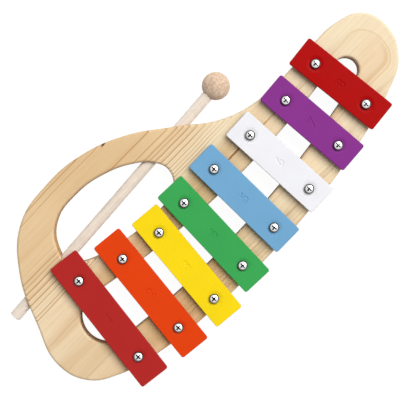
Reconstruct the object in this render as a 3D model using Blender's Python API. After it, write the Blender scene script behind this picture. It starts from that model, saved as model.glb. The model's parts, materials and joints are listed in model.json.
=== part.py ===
"""Toy xylophone: a looped pine board, eight tuned metal bars on screws, and a mallet.

Metres, +Z up. The underside of the board lies on z = 0. The row of bars runs
along +X from the longest bar to the shortest, and the carrying loop is on +Y.
The origin is below the middle of the whole object.
"""

import math
from itertools import accumulate

import bmesh
import bpy
from mathutils import Matrix, Vector

# Fits
SEAT_GAP = 0.0003
CUT_OVERRUN = 0.004
WELD_DISTANCE = 0.00001

# Board
BOARD_THICKNESS = 0.020
BOARD_EDGE_ROUND = 0.0022
CHANNEL_LOW_RADIUS = 0.0217
CHANNEL_HIGH_RADIUS = 0.0101
CHANNEL_BOW = 0.0126
WOOD_UNDER_SCREW = 0.007

# Bars
LONGEST_BAR = 0.122
BAR_WIDTH = 0.0266
BAR_THICKNESS = 0.0029
BAR_CORNER_RADIUS = 0.0018
BAR_EDGE_ROUND = 0.0008
BAR_PLAY = 0.0005
BAR_HOLE_RADIUS = 0.0032
DISH_RADIUS = 0.0072
DISH_DEPTH = 0.0006

# Rubber bushes under the bars
BUSH_FLANGE_RADIUS = 0.0056
BUSH_FLANGE_THICKNESS = 0.003
BUSH_EDGE_ROUND = 0.0006

# Screws
SHANK_RADIUS = 0.0019
SHANK_POINT = 0.003
HEAD_RADIUS = 0.0041
HEAD_HEIGHT = 0.0028
HEAD_RIM = 0.0007
RECESS_REACH = 0.0028
RECESS_FOOT_REACH = 0.0015
RECESS_SLOT = 0.0011
RECESS_DEPTH = 0.0016

# Mallet
BALL_RADIUS = 0.0116
BALL_SOCKET_DEPTH = 0.015
BALL_STANDOFF = 0.0422
STICK_RADIUS = 0.0047
STICK_EDGE_ROUND = 0.0006
TAIL_LENGTH = 0.0155

# Tuning: a bar's pitch in semitones above the longest one sets its length
SEMITONES = (0, 2, 4, 5, 7, 9, 11, 12)
SEMITONES_THAT_HALVE_A_BAR = 24

# Free space between neighbouring bars, in bar widths
BAR_SPACE_SHARES = (0.457, 0.372, 0.259, 0.438, 0.541, 0.532, 0.447)
# How far each bar's middle lies below the channel's middle line, in lengths of the longest bar
BAR_DRIFT_SHARES = (0.016, 0.049, 0.062, 0.028, 0.004, 0.018, 0.021, 0.023)
# Distance between a bar's screws, in lengths of that bar
SCREW_SPAN_SHARES = (0.641, 0.624, 0.642, 0.657, 0.679, 0.685, 0.627, 0.603)
# The fan: each bar's turn in degrees
BAR_TURNS = (-7.9, -6.9, -6.2, -2.9, -0.2, 1.8, 3.5, 5.4)

# Places on the board: x runs from 0 at the longest bar to 1 at the shortest,
# and y is in lengths of the longest bar
CHANNEL_END_SHARES = (-0.004, 1.045)
BOARD_SHARES = (
    (1.226, 0.020),
    (1.202, 0.187),
    (1.125, 0.267),
    (0.970, 0.271),
    (0.800, 0.278),
    (0.676, 0.366),
    (0.558, 0.561),
    (0.433, 0.757),
    (0.300, 0.875),
    (0.160, 0.908),
    (0.018, 0.851),
    (-0.094, 0.630),
    (-0.172, 0.298),
    (-0.216, 0.020),
    (-0.188, -0.200),
    (-0.109, -0.327),
    (0.048, -0.427),
    (0.262, -0.481),
    (0.486, -0.496),
    (0.693, -0.472),
    (0.898, -0.410),
    (1.086, -0.304),
    (1.183, -0.193),
)
LOOP_SHARES = (
    (0.451, 0.384),
    (0.436, 0.488),
    (0.389, 0.586),
    (0.304, 0.680),
    (0.197, 0.724),
    (0.097, 0.689),
    (0.042, 0.558),
    (0.034, 0.443),
    (0.062, 0.382),
    (0.131, 0.315),
    (0.232, 0.263),
    (0.337, 0.246),
    (0.419, 0.280),
)
# Where the mallet's stick leaves the edge of the board, near its ball and near its tail
STICK_EXIT_SHARES = ((0.578, 0.532), (-0.148, 0.452))

# Facets
OUTLINE_STEPS = 4
CHANNEL_STEPS = 14
ROUND_SIDES = 16
BALL_SIDES = 24
BALL_RINGS = 12
CORNER_STEPS = 3
DOME_STEPS = 3
SMOOTH_ANGLE = math.radians(35)

# Paint in linear colour, from the longest bar to the shortest
BAR_PAINTS = (
    ("red_paint", (0.46, 0.024, 0.022)),
    ("orange_paint", (0.78, 0.058, 0.008)),
    ("yellow_paint", (0.94, 0.69, 0.010)),
    ("green_paint", (0.048, 0.39, 0.093)),
    ("blue_paint", (0.19, 0.41, 0.67)),
    ("white_paint", (0.88, 0.88, 0.92)),
    ("purple_paint", (0.26, 0.035, 0.33)),
    ("deep_red_paint", (0.49, 0.005, 0.005)),
)

# Heights, from the board up
FLANGE_BOTTOM = BOARD_THICKNESS + SEAT_GAP
FLANGE_TOP = FLANGE_BOTTOM + BUSH_FLANGE_THICKNESS
BAR_BOTTOM = FLANGE_TOP + SEAT_GAP
HEAD_BOTTOM = BAR_BOTTOM + BAR_THICKNESS + BAR_PLAY + SEAT_GAP
HEAD_TOP = HEAD_BOTTOM + HEAD_HEIGHT
SLEEVE_TOP = HEAD_BOTTOM - SEAT_GAP

# The row
BAR_STEPS = [BAR_WIDTH * (1 + share) for share in BAR_SPACE_SHARES]
BAR_XS = list(accumulate(BAR_STEPS, initial=0.0))
ROW_LENGTH = BAR_XS[-1]
CHANNEL_START, CHANNEL_FINISH = (share * ROW_LENGTH for share in CHANNEL_END_SHARES)
CHANNEL_HALF = (CHANNEL_FINISH - CHANNEL_START) / 2

# The mallet in its bore
BORE_RADIUS = STICK_RADIUS + SEAT_GAP
STICK_HEIGHT = BALL_RADIUS + SEAT_GAP
SOCKET_MOUTH = BALL_STANDOFF - BALL_RADIUS
STICK_TOP = SOCKET_MOUTH + BALL_SOCKET_DEPTH


def on_board(shares):
    """Turn a pair of shares into a place on the board."""
    return Vector((shares[0] * ROW_LENGTH, shares[1] * LONGEST_BAR))


def channel_middle(x):
    """Return the place and the slope of the channel's bowed middle line at x."""
    share = (x - CHANNEL_START) / CHANNEL_HALF - 1
    place = Vector((x, CHANNEL_BOW * (share**2 - 1)))
    return place, math.atan(2 * share * CHANNEL_BOW / CHANNEL_HALF)


def bar_length(index):
    """Return the length that tunes a bar: half as long for every two octaves."""
    return LONGEST_BAR * 2 ** (-SEMITONES[index] / SEMITONES_THAT_HALVE_A_BAR)


def bar_centre(index):
    """Return the middle of a bar."""
    place, _ = channel_middle(BAR_XS[index])
    return place - Vector((0.0, BAR_DRIFT_SHARES[index] * LONGEST_BAR))


def screw_reach(index):
    """Return how far a bar's screws lie from its middle."""
    return SCREW_SPAN_SHARES[index] * bar_length(index) / 2


def screw_places(index):
    """Return the places of a bar's front and back screw."""
    turn = math.radians(BAR_TURNS[index])
    along = Vector((-math.sin(turn), math.cos(turn))) * screw_reach(index)
    return {"front": bar_centre(index) - along, "back": bar_centre(index) + along}


def stick_exits():
    """Return the places where the stick leaves the board, near its ball and near its tail."""
    return [on_board(shares) for shares in STICK_EXIT_SHARES]


def clear_scene():
    """Remove every object, so that only the xylophone is left."""
    for existing in list(bpy.data.objects):
        bpy.data.objects.remove(existing, do_unlink=True)


def make_material(name, colour, roughness, metallic=0.0):
    """Return a Principled material in one linear colour."""
    material = bpy.data.materials.new(name)
    material.use_nodes = True
    surface = material.node_tree.nodes["Principled BSDF"]
    surface.inputs["Base Color"].default_value = (*colour, 1.0)
    surface.inputs["Roughness"].default_value = roughness
    surface.inputs["Metallic"].default_value = metallic
    return material


def add_object(name, data, material=None):
    """Link a mesh or a curve to the scene as one named object."""
    item = bpy.data.objects.new(name, data)
    bpy.context.scene.collection.objects.link(item)
    if material is not None and not data.materials:
        data.materials.append(material)
    return item


def evaluated_mesh(item):
    """Return an object's shape as a plain mesh, with its modifiers applied."""
    bpy.context.view_layer.update()
    graph = bpy.context.evaluated_depsgraph_get()
    return bpy.data.meshes.new_from_object(item.evaluated_get(graph))


def to_mesh(name, shell):
    """Finish a mesh with its faces outwards, smooth except along real edges."""
    bmesh.ops.remove_doubles(shell, verts=shell.verts, dist=WELD_DISTANCE)
    bmesh.ops.recalc_face_normals(shell, faces=shell.faces)
    mesh = bpy.data.meshes.new(name)
    shell.to_mesh(mesh)
    shell.free()
    mesh.shade_smooth()
    mesh.set_sharp_from_angle(angle=SMOOTH_ANGLE)
    return mesh


def arc(centre, radius, start, sweep, steps):
    """Return points along an arc, both ends included."""
    angles = [start + sweep * step / steps for step in range(steps + 1)]
    return [centre + radius * Vector((math.cos(angle), math.sin(angle))) for angle in angles]


def circle(centre, radius, sides=ROUND_SIDES):
    """Return the corners of a regular polygon."""
    return arc(centre, radius, 0.0, math.tau, sides)[:-1]


def add_smooth_spline(curve, points):
    """Add a closed Bezier spline that runs smoothly through the points."""
    spline = curve.splines.new("BEZIER")
    spline.bezier_points.add(len(points) - 1)
    spline.resolution_u = OUTLINE_STEPS
    spline.use_cyclic_u = True
    for knot, point in zip(spline.bezier_points, points):
        knot.co = point.to_3d()
        knot.handle_left_type = "AUTO"
        knot.handle_right_type = "AUTO"


def add_straight_spline(curve, points):
    """Add a closed polygon."""
    spline = curve.splines.new("POLY")
    spline.points.add(len(points) - 1)
    spline.use_cyclic_u = True
    for corner, point in zip(spline.points, points):
        corner.co = (*point.to_3d(), 1.0)


def plate_mesh(name, thickness, edge_round, round_steps, smooth=(), straight=()):
    """Make a plate with rounded edges from its outline and the outlines of its holes."""
    curve = bpy.data.curves.new(name, "CURVE")
    curve.dimensions = "2D"
    curve.fill_mode = "BOTH"
    curve.extrude = thickness / 2 - edge_round
    curve.bevel_depth = edge_round
    curve.bevel_resolution = round_steps
    curve.offset = -edge_round
    for points in smooth:
        add_smooth_spline(curve, points)
    for points in straight:
        add_straight_spline(curve, points)
    guide = add_object(name + "_outline", curve)
    shell = bmesh.new()
    shell.from_mesh(evaluated_mesh(guide))
    bpy.data.objects.remove(guide, do_unlink=True)
    bmesh.ops.translate(shell, verts=shell.verts, vec=(0.0, 0.0, thickness / 2))
    return to_mesh(name, shell)


def turned_mesh(name, profile, sides=ROUND_SIDES):
    """Turn a profile of (radius, height) points round Z: a loop, or a line from axis to axis."""
    shell = bmesh.new()
    rings = []
    for radius, height in profile:
        corners = circle(Vector((0.0, 0.0)), radius, sides)
        rings.append([shell.verts.new((corner.x, corner.y, height)) for corner in corners])
    if max(profile[0][0], profile[-1][0]) > WELD_DISTANCE:
        rings.append(rings[0])
    for lower, upper in zip(rings, rings[1:]):
        for side in range(sides):
            following = (side + 1) % sides
            shell.faces.new((lower[side], lower[following], upper[following], upper[side]))
    return to_mesh(name, shell)


def drill_mesh(name, places, bottom, top, radius):
    """Make an upright cylinder on each place."""
    shell = bmesh.new()
    for place in places:
        bmesh.ops.create_cone(
            shell,
            cap_ends=True,
            segments=ROUND_SIDES,
            radius1=radius,
            radius2=radius,
            depth=top - bottom,
            matrix=Matrix.Translation((place.x, place.y, (bottom + top) / 2)),
        )
    return to_mesh(name, shell)


def cut(item, cutter):
    """Cut one object out of another."""
    cutter.hide_render = True
    cutter.display_type = "WIRE"
    boolean = item.modifiers.new(cutter.name, "BOOLEAN")
    boolean.operation = "DIFFERENCE"
    boolean.solver = "EXACT"
    boolean.object = cutter


def channel_outline():
    """Return the sound channel: two bowed sides that close in, between two round ends."""
    upper, lower = [], []
    for step in range(CHANNEL_STEPS + 1):
        share = step / CHANNEL_STEPS
        middle, slope = channel_middle(CHANNEL_START + share * 2 * CHANNEL_HALF)
        radius = CHANNEL_LOW_RADIUS + share * (CHANNEL_HIGH_RADIUS - CHANNEL_LOW_RADIUS)
        across = radius * Vector((-math.sin(slope), math.cos(slope)))
        upper.append(middle + across)
        lower.append(middle - across)
    start, start_slope = channel_middle(CHANNEL_START)
    finish, finish_slope = channel_middle(CHANNEL_FINISH)
    end_steps = ROUND_SIDES // 2
    low_end = arc(start, CHANNEL_LOW_RADIUS, start_slope + math.pi / 2, math.pi, end_steps)
    high_end = arc(finish, CHANNEL_HIGH_RADIUS, finish_slope - math.pi / 2, math.pi, end_steps)
    return lower[:-1] + high_end + upper[-2:0:-1] + low_end[:-1]


def stick_frame():
    """Return the mallet's frame: Z along the stick, from where it leaves the board at its ball."""
    head_exit, tail_exit = stick_exits()
    along = (head_exit - tail_exit).to_3d()
    turn = along.to_track_quat("Z", "Y").to_matrix().to_4x4()
    return Matrix.Translation((head_exit.x, head_exit.y, STICK_HEIGHT)) @ turn


def bored_length():
    """Return the distance along the stick between its two exits."""
    head_exit, tail_exit = stick_exits()
    return (head_exit - tail_exit).length


def make_board(wood):
    """Make the one-piece board: outline, carrying loop, channel, screw holes and mallet bore."""
    mesh = plate_mesh(
        "frame_board",
        BOARD_THICKNESS,
        BOARD_EDGE_ROUND,
        round_steps=1,
        smooth=[[on_board(shares) for shares in table] for table in (BOARD_SHARES, LOOP_SHARES)],
        straight=[channel_outline()],
    )
    board = add_object("frame_board", mesh, wood)
    places = [place for index in range(len(BAR_XS)) for place in screw_places(index).values()]
    pilot_bottom = WOOD_UNDER_SCREW - SEAT_GAP
    pilot_top = BOARD_THICKNESS + CUT_OVERRUN
    holes = drill_mesh("pilot_holes", places, pilot_bottom, pilot_top, SHANK_RADIUS + SEAT_GAP)
    cut(board, add_object("pilot_holes", holes))
    cut(board, make_bore_cutter())


def make_bore_cutter():
    """Make the long drill that opens both sides of the loop for the stick."""
    middle = [Vector((0.0, 0.0))]
    bottom = -bored_length() - BOARD_THICKNESS
    drill = drill_mesh("stick_bore", middle, bottom, BOARD_THICKNESS, BORE_RADIUS)
    cutter = add_object("stick_bore", drill)
    cutter.matrix_world = stick_frame()
    return cutter


def rounded_rectangle(length, width, radius):
    """Return the outline of a plate whose long side runs along Y, with round corners."""
    points = []
    for quarter, (side_x, side_y) in enumerate(((1, 1), (-1, 1), (-1, -1), (1, -1))):
        centre = Vector((side_x * (width / 2 - radius), side_y * (length / 2 - radius)))
        points += arc(centre, radius, quarter * math.pi / 2, math.pi / 2, CORNER_STEPS)
    return points


def make_bar(index, dished_drill, paint):
    """Make one flat bar with two screw holes, each in a shallow dish."""
    name = f"bar_{index + 1}"
    outline = rounded_rectangle(bar_length(index), BAR_WIDTH, BAR_CORNER_RADIUS)
    mesh = plate_mesh(name, BAR_THICKNESS, BAR_EDGE_ROUND, round_steps=0, straight=[outline])
    bar = add_object(name, mesh, paint)
    bar.location = (*bar_centre(index), BAR_BOTTOM)
    bar.rotation_euler.z = math.radians(BAR_TURNS[index])
    for side, place in (("front", -screw_reach(index)), ("back", screw_reach(index))):
        drill = add_object(f"{name}_{side}_drill", dished_drill)
        drill.parent = bar
        drill.location.y = place
        cut(bar, drill)


def dished_drill_mesh():
    """Turn the drill for a bar's screw hole, which widens into a shallow dish on top."""
    widening = (DISH_RADIUS - BAR_HOLE_RADIUS) / DISH_DEPTH
    profile = [
        (0.0, -CUT_OVERRUN),
        (BAR_HOLE_RADIUS, -CUT_OVERRUN),
        (BAR_HOLE_RADIUS, BAR_THICKNESS - DISH_DEPTH),
        (DISH_RADIUS + CUT_OVERRUN * widening, BAR_THICKNESS + CUT_OVERRUN),
        (0.0, BAR_THICKNESS + CUT_OVERRUN),
    ]
    return turned_mesh("dished_drill", profile)


def bush_mesh():
    """Turn the rubber bush: a flange under the bar and a sleeve up through its hole."""
    bore = SHANK_RADIUS + SEAT_GAP
    sleeve = BAR_HOLE_RADIUS - SEAT_GAP
    profile = [
        (bore, FLANGE_BOTTOM),
        (BUSH_FLANGE_RADIUS, FLANGE_BOTTOM),
        (BUSH_FLANGE_RADIUS, FLANGE_TOP - BUSH_EDGE_ROUND),
        (BUSH_FLANGE_RADIUS - BUSH_EDGE_ROUND, FLANGE_TOP),
        (sleeve, FLANGE_TOP),
        (sleeve, SLEEVE_TOP),
        (bore, SLEEVE_TOP),
    ]
    return turned_mesh("bush", profile)


def screw_mesh():
    """Make the screw: a pointed shank under a domed pan head with a cross recess."""
    dome_base = HEAD_BOTTOM + HEAD_RIM
    profile = [
        (0.0, WOOD_UNDER_SCREW),
        (SHANK_RADIUS, WOOD_UNDER_SCREW + SHANK_POINT),
        (SHANK_RADIUS, HEAD_BOTTOM),
        (HEAD_RADIUS, HEAD_BOTTOM),
    ]
    for step in range(DOME_STEPS):
        angle = math.pi / 2 * step / DOME_STEPS
        rise = (HEAD_TOP - dome_base) * math.sin(angle)
        profile.append((HEAD_RADIUS * math.cos(angle), dome_base + rise))
    profile.append((0.0, HEAD_TOP))
    blank = add_object("screw_blank", turned_mesh("screw_blank", profile))
    recess = add_object("cross_recess", recess_mesh())
    cut(blank, recess)
    screw = evaluated_mesh(blank)
    for used in (blank, recess):
        bpy.data.objects.remove(used, do_unlink=True)
    return screw


def recess_mesh():
    """Make the cross that is pressed into a screw head: four wings that narrow downwards."""
    shell = bmesh.new()
    half = RECESS_SLOT / 2
    taper = (RECESS_REACH - RECESS_FOOT_REACH) / RECESS_DEPTH
    levels = []
    for height, reach in (
        (HEAD_TOP - RECESS_DEPTH, RECESS_FOOT_REACH),
        (HEAD_TOP + CUT_OVERRUN, RECESS_REACH + taper * CUT_OVERRUN),
    ):
        ring = []
        for quarter in range(4):
            turn = Matrix.Rotation(quarter * math.pi / 2, 2)
            for corner in ((reach, -half), (reach, half), (half, half)):
                place = turn @ Vector(corner)
                ring.append(shell.verts.new((*place, height)))
        levels.append(ring)
    foot, mouth = levels
    shell.faces.new(foot)
    shell.faces.new(mouth)
    for corner in range(len(foot)):
        following = (corner + 1) % len(foot)
        shell.faces.new((foot[corner], foot[following], mouth[following], mouth[corner]))
    return to_mesh("cross_recess", shell)


def add_fasteners(steel, rubber):
    """Set a screw and a bush at both ends of every bar."""
    screw = screw_mesh()
    bush = bush_mesh()
    for index in range(len(BAR_XS)):
        for side, place in screw_places(index).items():
            name = f"{index + 1}_{side}"
            add_object("screw_" + name, screw, steel).location = place.to_3d()
            add_object("bush_" + name, bush, rubber).location = place.to_3d()


def make_stick(wood):
    """Make the mallet's stick, pushed through its bore, with its tail standing out."""
    tail = -bored_length() - TAIL_LENGTH
    profile = [
        (0.0, tail),
        (STICK_RADIUS - STICK_EDGE_ROUND, tail),
        (STICK_RADIUS, tail + STICK_EDGE_ROUND),
        (STICK_RADIUS, STICK_TOP),
        (0.0, STICK_TOP),
    ]
    stick = add_object("mallet_stick", turned_mesh("mallet_stick", profile), wood)
    stick.matrix_world = stick_frame()


def make_ball(wood):
    """Make the mallet's ball, with the blind socket that holds the stick."""
    socket_top = STICK_TOP + SEAT_GAP
    mouth = math.asin(BORE_RADIUS / BALL_RADIUS)
    profile = [(0.0, socket_top), (BORE_RADIUS, socket_top)]
    for step in range(BALL_RINGS + 1):
        angle = mouth + (math.pi - mouth) * step / BALL_RINGS
        height = BALL_STANDOFF - BALL_RADIUS * math.cos(angle)
        profile.append((BALL_RADIUS * math.sin(angle), height))
    ball = add_object("mallet_head", turned_mesh("mallet_head", profile, BALL_SIDES), wood)
    ball.matrix_world = stick_frame()


def centre_on_origin():
    """Hang every piece on one empty, and move it so that the origin is below the middle."""
    bpy.context.view_layer.update()
    graph = bpy.context.evaluated_depsgraph_get()
    points = [
        item.matrix_world @ vertex.co
        for item in bpy.data.objects
        if not item.hide_render
        for vertex in item.evaluated_get(graph).data.vertices
    ]
    middle_x, middle_y = (
        (min(point[axis] for point in points) + max(point[axis] for point in points)) / 2
        for axis in (0, 1)
    )
    carrier = add_object("xylophone", None)
    for item in bpy.data.objects:
        if item.parent is None and item is not carrier:
            item.parent = carrier
    carrier.location = (-middle_x, -middle_y, 0.0)
    bpy.context.view_layer.update()


def build():
    """Build the whole xylophone."""
    clear_scene()
    make_board(make_material("pine", (0.80, 0.60, 0.35), roughness=0.55))
    dished_drill = dished_drill_mesh()
    for index, (name, colour) in enumerate(BAR_PAINTS):
        make_bar(index, dished_drill, make_material(name, colour, roughness=0.35))
    steel = make_material("bright_steel", (0.75, 0.75, 0.76), roughness=0.15, metallic=1.0)
    rubber = make_material("black_rubber", (0.03, 0.03, 0.03), roughness=0.8)
    add_fasteners(steel, rubber)
    make_stick(make_material("pale_dowel", (0.80, 0.72, 0.62), roughness=0.6))
    make_ball(make_material("turned_ball", (0.62, 0.46, 0.32), roughness=0.6))
    centre_on_origin()


build()
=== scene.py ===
# %% [markdown]
# A toy xylophone, finished over its frame.
#
# The frame holds every working part at its real size: a looped pine board, eight metal
# bars on screws and rubber bushes, and a mallet in its bore. This script gives these parts
# the surface of the real thing. It loads the frame first, because every place below is
# measured on it, and it never moves a part of it.

# %% Load the frame
import json
import math

import bmesh
import bpy
from mathutils import Matrix, Vector


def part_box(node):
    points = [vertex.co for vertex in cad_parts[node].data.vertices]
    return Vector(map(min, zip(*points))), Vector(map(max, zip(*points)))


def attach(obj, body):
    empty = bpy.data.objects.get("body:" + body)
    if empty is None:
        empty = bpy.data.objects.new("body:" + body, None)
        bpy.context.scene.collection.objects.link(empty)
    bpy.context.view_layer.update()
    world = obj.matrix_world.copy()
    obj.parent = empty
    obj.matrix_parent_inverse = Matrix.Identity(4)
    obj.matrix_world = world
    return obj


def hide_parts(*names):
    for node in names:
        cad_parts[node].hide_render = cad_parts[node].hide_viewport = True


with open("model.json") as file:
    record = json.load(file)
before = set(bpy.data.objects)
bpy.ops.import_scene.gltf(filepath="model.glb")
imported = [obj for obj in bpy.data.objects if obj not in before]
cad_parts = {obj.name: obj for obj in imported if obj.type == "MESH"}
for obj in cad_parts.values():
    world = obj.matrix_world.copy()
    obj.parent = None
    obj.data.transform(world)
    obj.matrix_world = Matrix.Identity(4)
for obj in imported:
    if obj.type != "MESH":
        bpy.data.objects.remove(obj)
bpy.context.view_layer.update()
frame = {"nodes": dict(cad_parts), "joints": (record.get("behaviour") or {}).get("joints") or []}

# %% [markdown]
# Units. Blender works in metres, and a toy is measured in millimetres, so sizes are written
# as a number of millimetres times MM. Colours are written as on a paint chart, 0 to 255, and
# turned into the linear light that the renderer mixes.

# %% Units and colours
MM = 0.001
CHART_WHITE = 255
CHART_TOE = 0.04045
TOE_SLOPE = 12.92
CHART_LIFT = 0.055
CHART_POWER = 2.4


def chart(red, green, blue):
    """Turn a paint-chart colour into linear light, with full opacity."""
    light = []
    for level in (red, green, blue):
        share = level / CHART_WHITE
        curved = ((share + CHART_LIFT) / (1 + CHART_LIFT)) ** CHART_POWER
        light.append(share / TOE_SLOPE if share <= CHART_TOE else curved)
    return (*light, 1.0)


# %% [markdown]
# Where things are. The screws tell all about a bar: its middle is halfway between them, and
# it points from the front screw to the back one. The mallet's joint gives the line of its
# stick, and its head and stick give how thick they are and how far they reach.

# %% Measure the frame
BAR_NUMBERS = range(1, 9)
SIDES = ("front", "back")


def box_middle(node):
    """Return the middle of a part's box."""
    low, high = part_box(node)
    return (low + high) / 2


def box_height(node):
    """Return how tall a part is."""
    low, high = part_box(node)
    return high.z - low.z


def reach_along(node, origin, direction):
    """Return how far a part reaches from an origin, backwards and forwards along a direction."""
    steps = [(vertex.co - origin).dot(direction) for vertex in frame["nodes"][node].data.vertices]
    return min(steps), max(steps)


SCREW_PLACES = {
    (number, side): box_middle(f"screw_{number}_{side}") for number in BAR_NUMBERS for side in SIDES
}
BAR_BOTTOM, BAR_TOP = (corner.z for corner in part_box("bar_1"))
SCREW_POINT, HEAD_TOP = (corner.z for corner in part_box("screw_1_front"))
FLANGE_BOTTOM, SLEEVE_TOP = (corner.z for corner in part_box("bush_1_front"))
BOARD_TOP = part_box("frame_board")[1].z
for number in BAR_NUMBERS:
    front, back = (SCREW_PLACES[number, side] for side in SIDES)
    print("bar", number, "screws", round((back - front).length / MM, 1), "mm apart")

# %% [markdown]
# Node helpers. A material or a modifier tree is a set of boxes and wires. A box's output is
# held here as a Wire, which can be calculated with like a number: each sign adds a Math node.
# The helpers add a box, set its inputs by name, and wire a plain number or another box's output
# in one call, which keeps the trees below short enough to read.

# %% Wires, and arithmetic with them
class Wire:
    """A node's output that can be calculated with like a number."""

    def __init__(self, socket):
        self.socket = socket

    def __add__(self, other):
        return calculate("ADD", self, other)

    def __sub__(self, other):
        return calculate("SUBTRACT", self, other)

    def __rsub__(self, other):
        return calculate("SUBTRACT", other, self)

    def __mul__(self, other):
        return calculate("MULTIPLY", self, other)

    def __truediv__(self, other):
        return calculate("DIVIDE", self, other)

    def __rtruediv__(self, other):
        return calculate("DIVIDE", other, self)


print("a wire can be added, subtracted, multiplied and divided")

# %% Add nodes and lay wires
def tree_of(*values):
    """Return the tree of the first wire among some values."""
    return next(value.socket.id_data for value in values if isinstance(value, Wire))


def plug(value, socket):
    """Lay a wire to a socket, or type a plain value into it."""
    if isinstance(value, Wire):
        socket.id_data.links.new(value.socket, socket)
    else:
        socket.default_value = value


def add_node(tree, kind, values=None, **properties):
    """Add a node, set its properties, then fill or wire its inputs by name or number."""
    node = tree.nodes.new(kind)
    for name, value in properties.items():
        setattr(node, name, value)
    for name, value in (values or {}).items():
        plug(value, node.inputs[name])
    return node


def shader(tree, kind, values=None, output=0, **properties):
    """Add a node of the shader kinds, and return one of its outputs."""
    return Wire(add_node(tree, "ShaderNode" + kind, values, **properties).outputs[output])


def geometry(tree, kind, values=None, output=0, **properties):
    """Add a node of the geometry kinds, and return one of its outputs."""
    return Wire(add_node(tree, "GeometryNode" + kind, values, **properties).outputs[output])


def calculate(operation, first, second=0.0, clamp=False):
    """Add a Math node on two numbers or wires, and return its result."""
    tree = tree_of(first, second)
    return shader(tree, "Math", {0: first, 1: second}, operation=operation, use_clamp=clamp)


print("a node is added by its kind, and its inputs are filled or wired by name")

# %% Ramps, blends and curves
def remap(value, low, high, to_low=0.0, to_high=1.0, kind="LINEAR"):
    """Map a value from one range to another."""
    ramp = {"From Min": low, "From Max": high, "To Min": to_low, "To Max": to_high}
    values = {"Value": value, **ramp}
    return shader(tree_of(value), "MapRange", values, interpolation_type=kind)


def ease(value, *ramp):
    """Map a value from one range to another with a soft start and a soft end."""
    return remap(value, *ramp, kind="SMOOTHSTEP")


def mix_colours(share, first, second):
    """Blend two colours by a share."""
    colours = {0: share, 6: first, 7: second}
    return shader(tree_of(share), "Mix", colours, output=2, data_type="RGBA")


def curve_through(value, points):
    """Look a value up on a curve of straight runs between given points."""
    node = add_node(tree_of(value), "ShaderNodeFloatCurve", {"Value": value})
    line = node.mapping.curves[0]
    line.points[0].location = points[0]
    line.points[1].location = points[-1]
    for place in points[1:-1]:
        line.points.new(*place)
    for point in line.points:
        point.handle_type = "VECTOR"
    node.mapping.update()
    return Wire(node.outputs["Value"])


print("a ramp is written as from, to, value at from, value at to")

# %% Vectors and noise
def split(vector):
    """Take a vector apart into X, Y and Z."""
    node = add_node(tree_of(vector), "ShaderNodeSeparateXYZ", {0: vector})
    return [Wire(output) for output in node.outputs]


def join(x=0.0, y=0.0, z=0.0):
    """Put X, Y and Z together into a vector."""
    return shader(tree_of(x, y, z), "CombineXYZ", {"X": x, "Y": y, "Z": z})


def length_of(vector):
    """Measure a vector."""
    return shader(tree_of(vector), "VectorMath", {0: vector}, output="Value", operation="LENGTH")


def noise(vector, scale, detail):
    """Add a cloudy noise between 0 and 1."""
    return shader(tree_of(vector), "TexNoise", {"Vector": vector, "Scale": scale, "Detail": detail})


print("a noise of scale", round(1 / MM), "has clouds of a millimetre")

# %% Node groups and trees
def new_tree(name, kind, inputs, outputs):
    """Start a node group whose inputs have a number to start from or a kind of socket."""
    tree = bpy.data.node_groups.new(name, kind + "NodeTree")
    for label, value in inputs.items():
        socket = value if isinstance(value, str) else {float: "Float", int: "Int"}[type(value)]
        made = tree.interface.new_socket(label, in_out="INPUT", socket_type="NodeSocket" + socket)
        if value != socket:
            made.default_value = value
    result_kind = {"Shader": "NodeSocketFloat", "Geometry": "NodeSocketGeometry"}[kind]
    for label in outputs:
        tree.interface.new_socket(label, in_out="OUTPUT", socket_type=result_kind)
    given = outputs_of(tree.nodes.new("NodeGroupInput"))
    return tree, given, tree.nodes.new("NodeGroupOutput").inputs


def outputs_of(node):
    """Return all outputs of a node by name."""
    return {output.name: Wire(output) for output in node.outputs}


def use_group(group, values):
    """Place a node group in the tree of its values, and return its outputs."""
    node = tree_of(*values.values()).nodes.new("ShaderNodeGroup")
    node.node_tree = group
    for name, value in values.items():
        plug(value, node.inputs[name])
    return outputs_of(node)


print("a tree's inputs are named with a number to start from or a kind of socket")

# %% [markdown]
# Wood, part one: how far from the pith. A tree is a stack of cones, so wood's pattern depends
# on the distance to the tree's own middle line, the pith. The board was sawn with the pith
# running under it along X. Where the log tapers out, at one end of the board, the rings close
# into arches. A slow noise makes the rings wander as real ones do.

# %% Group: distance from the pith
def pith_distance_group():
    """Measure how far a point lies from the pith, in metres."""
    inputs = {
        "Vector": "Vector",
        "Pith Y": 0.0,
        "Pith Z": 0.0,
        "Arch Start": 1.0,
        "Arch Stretch": 1.0,
        "Wander": 0.0,
        "Wander Length": 100 * MM,
    }
    group, given, result = new_tree("Distance from the pith", "Shader", inputs, ("Distance",))
    x, y, z = split(given["Vector"])
    drift = noise(given["Vector"], 1.0 / given["Wander Length"], detail=2.0) - 0.5
    across = y - given["Pith Y"] + drift * given["Wander"]
    along = calculate("MAXIMUM", x - given["Arch Start"], 0.0) * given["Arch Stretch"]
    plug(length_of(join(along, across, z - given["Pith Z"])), result["Distance"])
    return group


PITH_DISTANCE = pith_distance_group()
print("made", PITH_DISTANCE.name)

# %% [markdown]
# Wood, part two: the rings. Each year a tree lays down pale wood, then a darker, harder line
# that ends sharply. The group takes a running count of years, whose whole part names the ring
# and whose fraction says how late in the year it is. No two years are alike, so every ring
# draws its own strength between the weakest and full.

# %% Group: growth rings
DARKEST_PART = 0.4


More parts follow.
